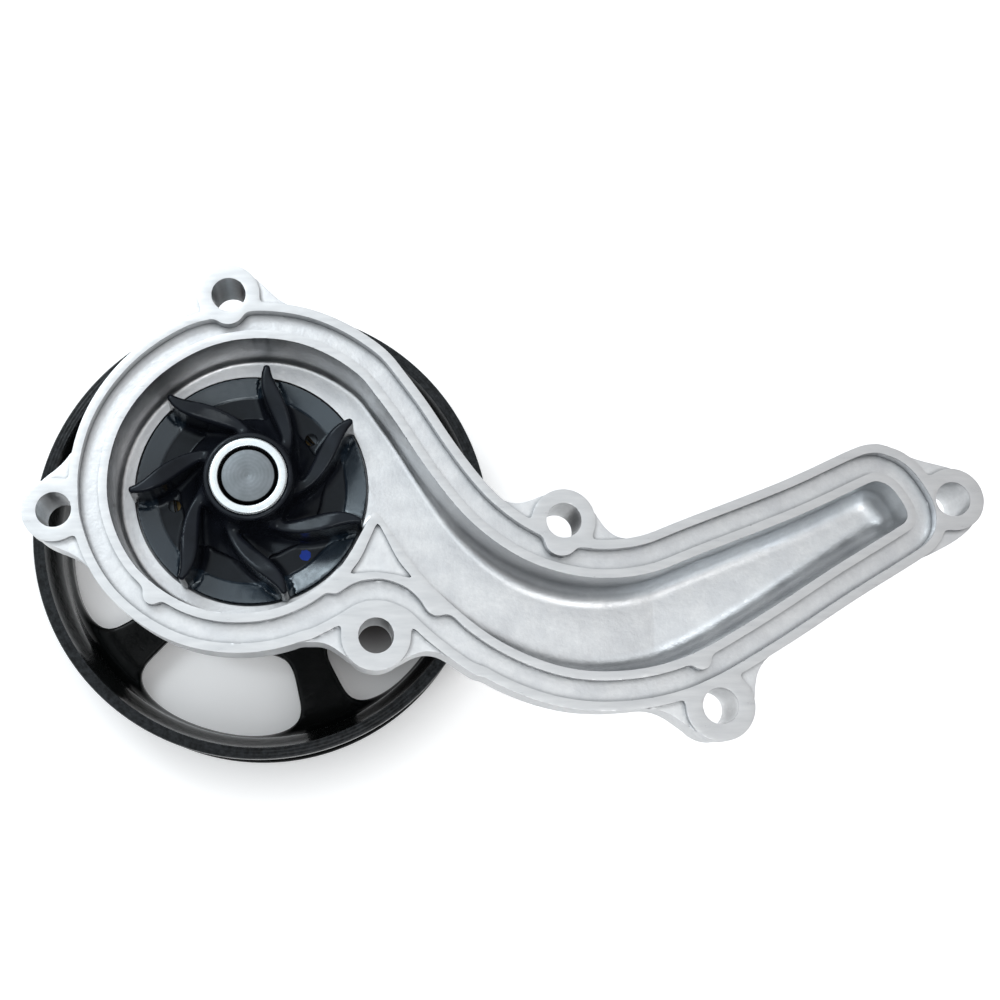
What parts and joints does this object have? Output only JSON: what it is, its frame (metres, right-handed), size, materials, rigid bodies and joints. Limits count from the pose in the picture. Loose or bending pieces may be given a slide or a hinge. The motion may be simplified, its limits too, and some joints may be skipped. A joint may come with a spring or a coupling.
{
  "type": "automotive water pump",
  "caption": "Engine coolant pump: vaned impeller in a die-cast housing with a volute and curved delivery duct, driven by a ribbed belt pulley on a ball-bearing shaft.",
  "frame": {"origin": "centre of the shaft nose's end face, on the shaft axis and in the plane of the mounting face", "axes": "+Z along the shaft towards the engine, +X towards the far end of the duct"},
  "size_m": [0.243, 0.1292, 0.107],
  "materials": {
    "cast_aluminium": "die-cast, machined on the mounting face",
    "black_resin": "moulded, glossy",
    "zinc_steel": "bright zinc plate",
    "shaft_steel": "ground and turned",
    "bearing_steel": "polished",
    "black_paint": "black electro-coat",
    "rubber": "moulded rubber",
    "carbon": "lapped carbon",
    "ceramic": "lapped ceramic",
    "brass": "drawn brass",
    "cage_resin": "moulded resin"
  },
  "bodies": {
    "housing": {"pump_housing": "cast_aluminium", "bearing_outer_race": "bearing_steel", "bearing_seal_upper": "rubber", "bearing_seal_lower": "rubber", "seal_cup": "brass", "seal_bellows": "rubber", "seal_spring": "shaft_steel", "seal_carbon_ring": "carbon"},
    "rotor": {"shaft": "shaft_steel", "impeller": "black_resin", "impeller_hub_insert": "zinc_steel", "seal_seat_boot": "rubber", "seal_ceramic_seat": "ceramic", "shaft_slinger": "rubber", "pulley_hub": "zinc_steel", "pulley": "black_paint", "pulley_bolt_1": "zinc_steel", "pulley_bolt_2": "zinc_steel", "pulley_bolt_3": "zinc_steel", "pulley_bolt_4": "zinc_steel"},
    "upper_ball_row": {"ball_cage_upper": "cage_resin", "ball_upper_1": "bearing_steel", "ball_upper_2": "bearing_steel", "ball_upper_3": "bearing_steel", "ball_upper_4": "bearing_steel", "ball_upper_5": "bearing_steel", "ball_upper_6": "bearing_steel", "ball_upper_7": "bearing_steel"},
    "lower_ball_row": {"ball_cage_lower": "cage_resin", "ball_lower_1": "bearing_steel", "ball_lower_2": "bearing_steel", "ball_lower_3": "bearing_steel", "ball_lower_4": "bearing_steel", "ball_lower_5": "bearing_steel", "ball_lower_6": "bearing_steel", "ball_lower_7": "bearing_steel"}
  },
  "joints": [
    {"name": "rotor_spin", "type": "hinge", "parent": "housing", "child": "rotor", "pos_m": [0, 0, 0], "axis": [0, 0, 1], "continuous": true},
    {"name": "upper_ball_row_spin", "type": "hinge", "parent": "housing", "child": "upper_ball_row", "pos_m": [0, 0, -0.052], "axis": [0, 0, 1], "continuous": true},
    {"name": "lower_ball_row_spin", "type": "hinge", "parent": "housing", "child": "lower_ball_row", "pos_m": [0, 0, -0.076], "axis": [0, 0, 1], "continuous": true}
  ],
  "couplings": [
    {"joint": "upper_ball_row_spin", "follows": "rotor_spin", "ratio": 0.3735},
    {"joint": "lower_ball_row_spin", "follows": "rotor_spin", "ratio": 0.3735}
  ]
}
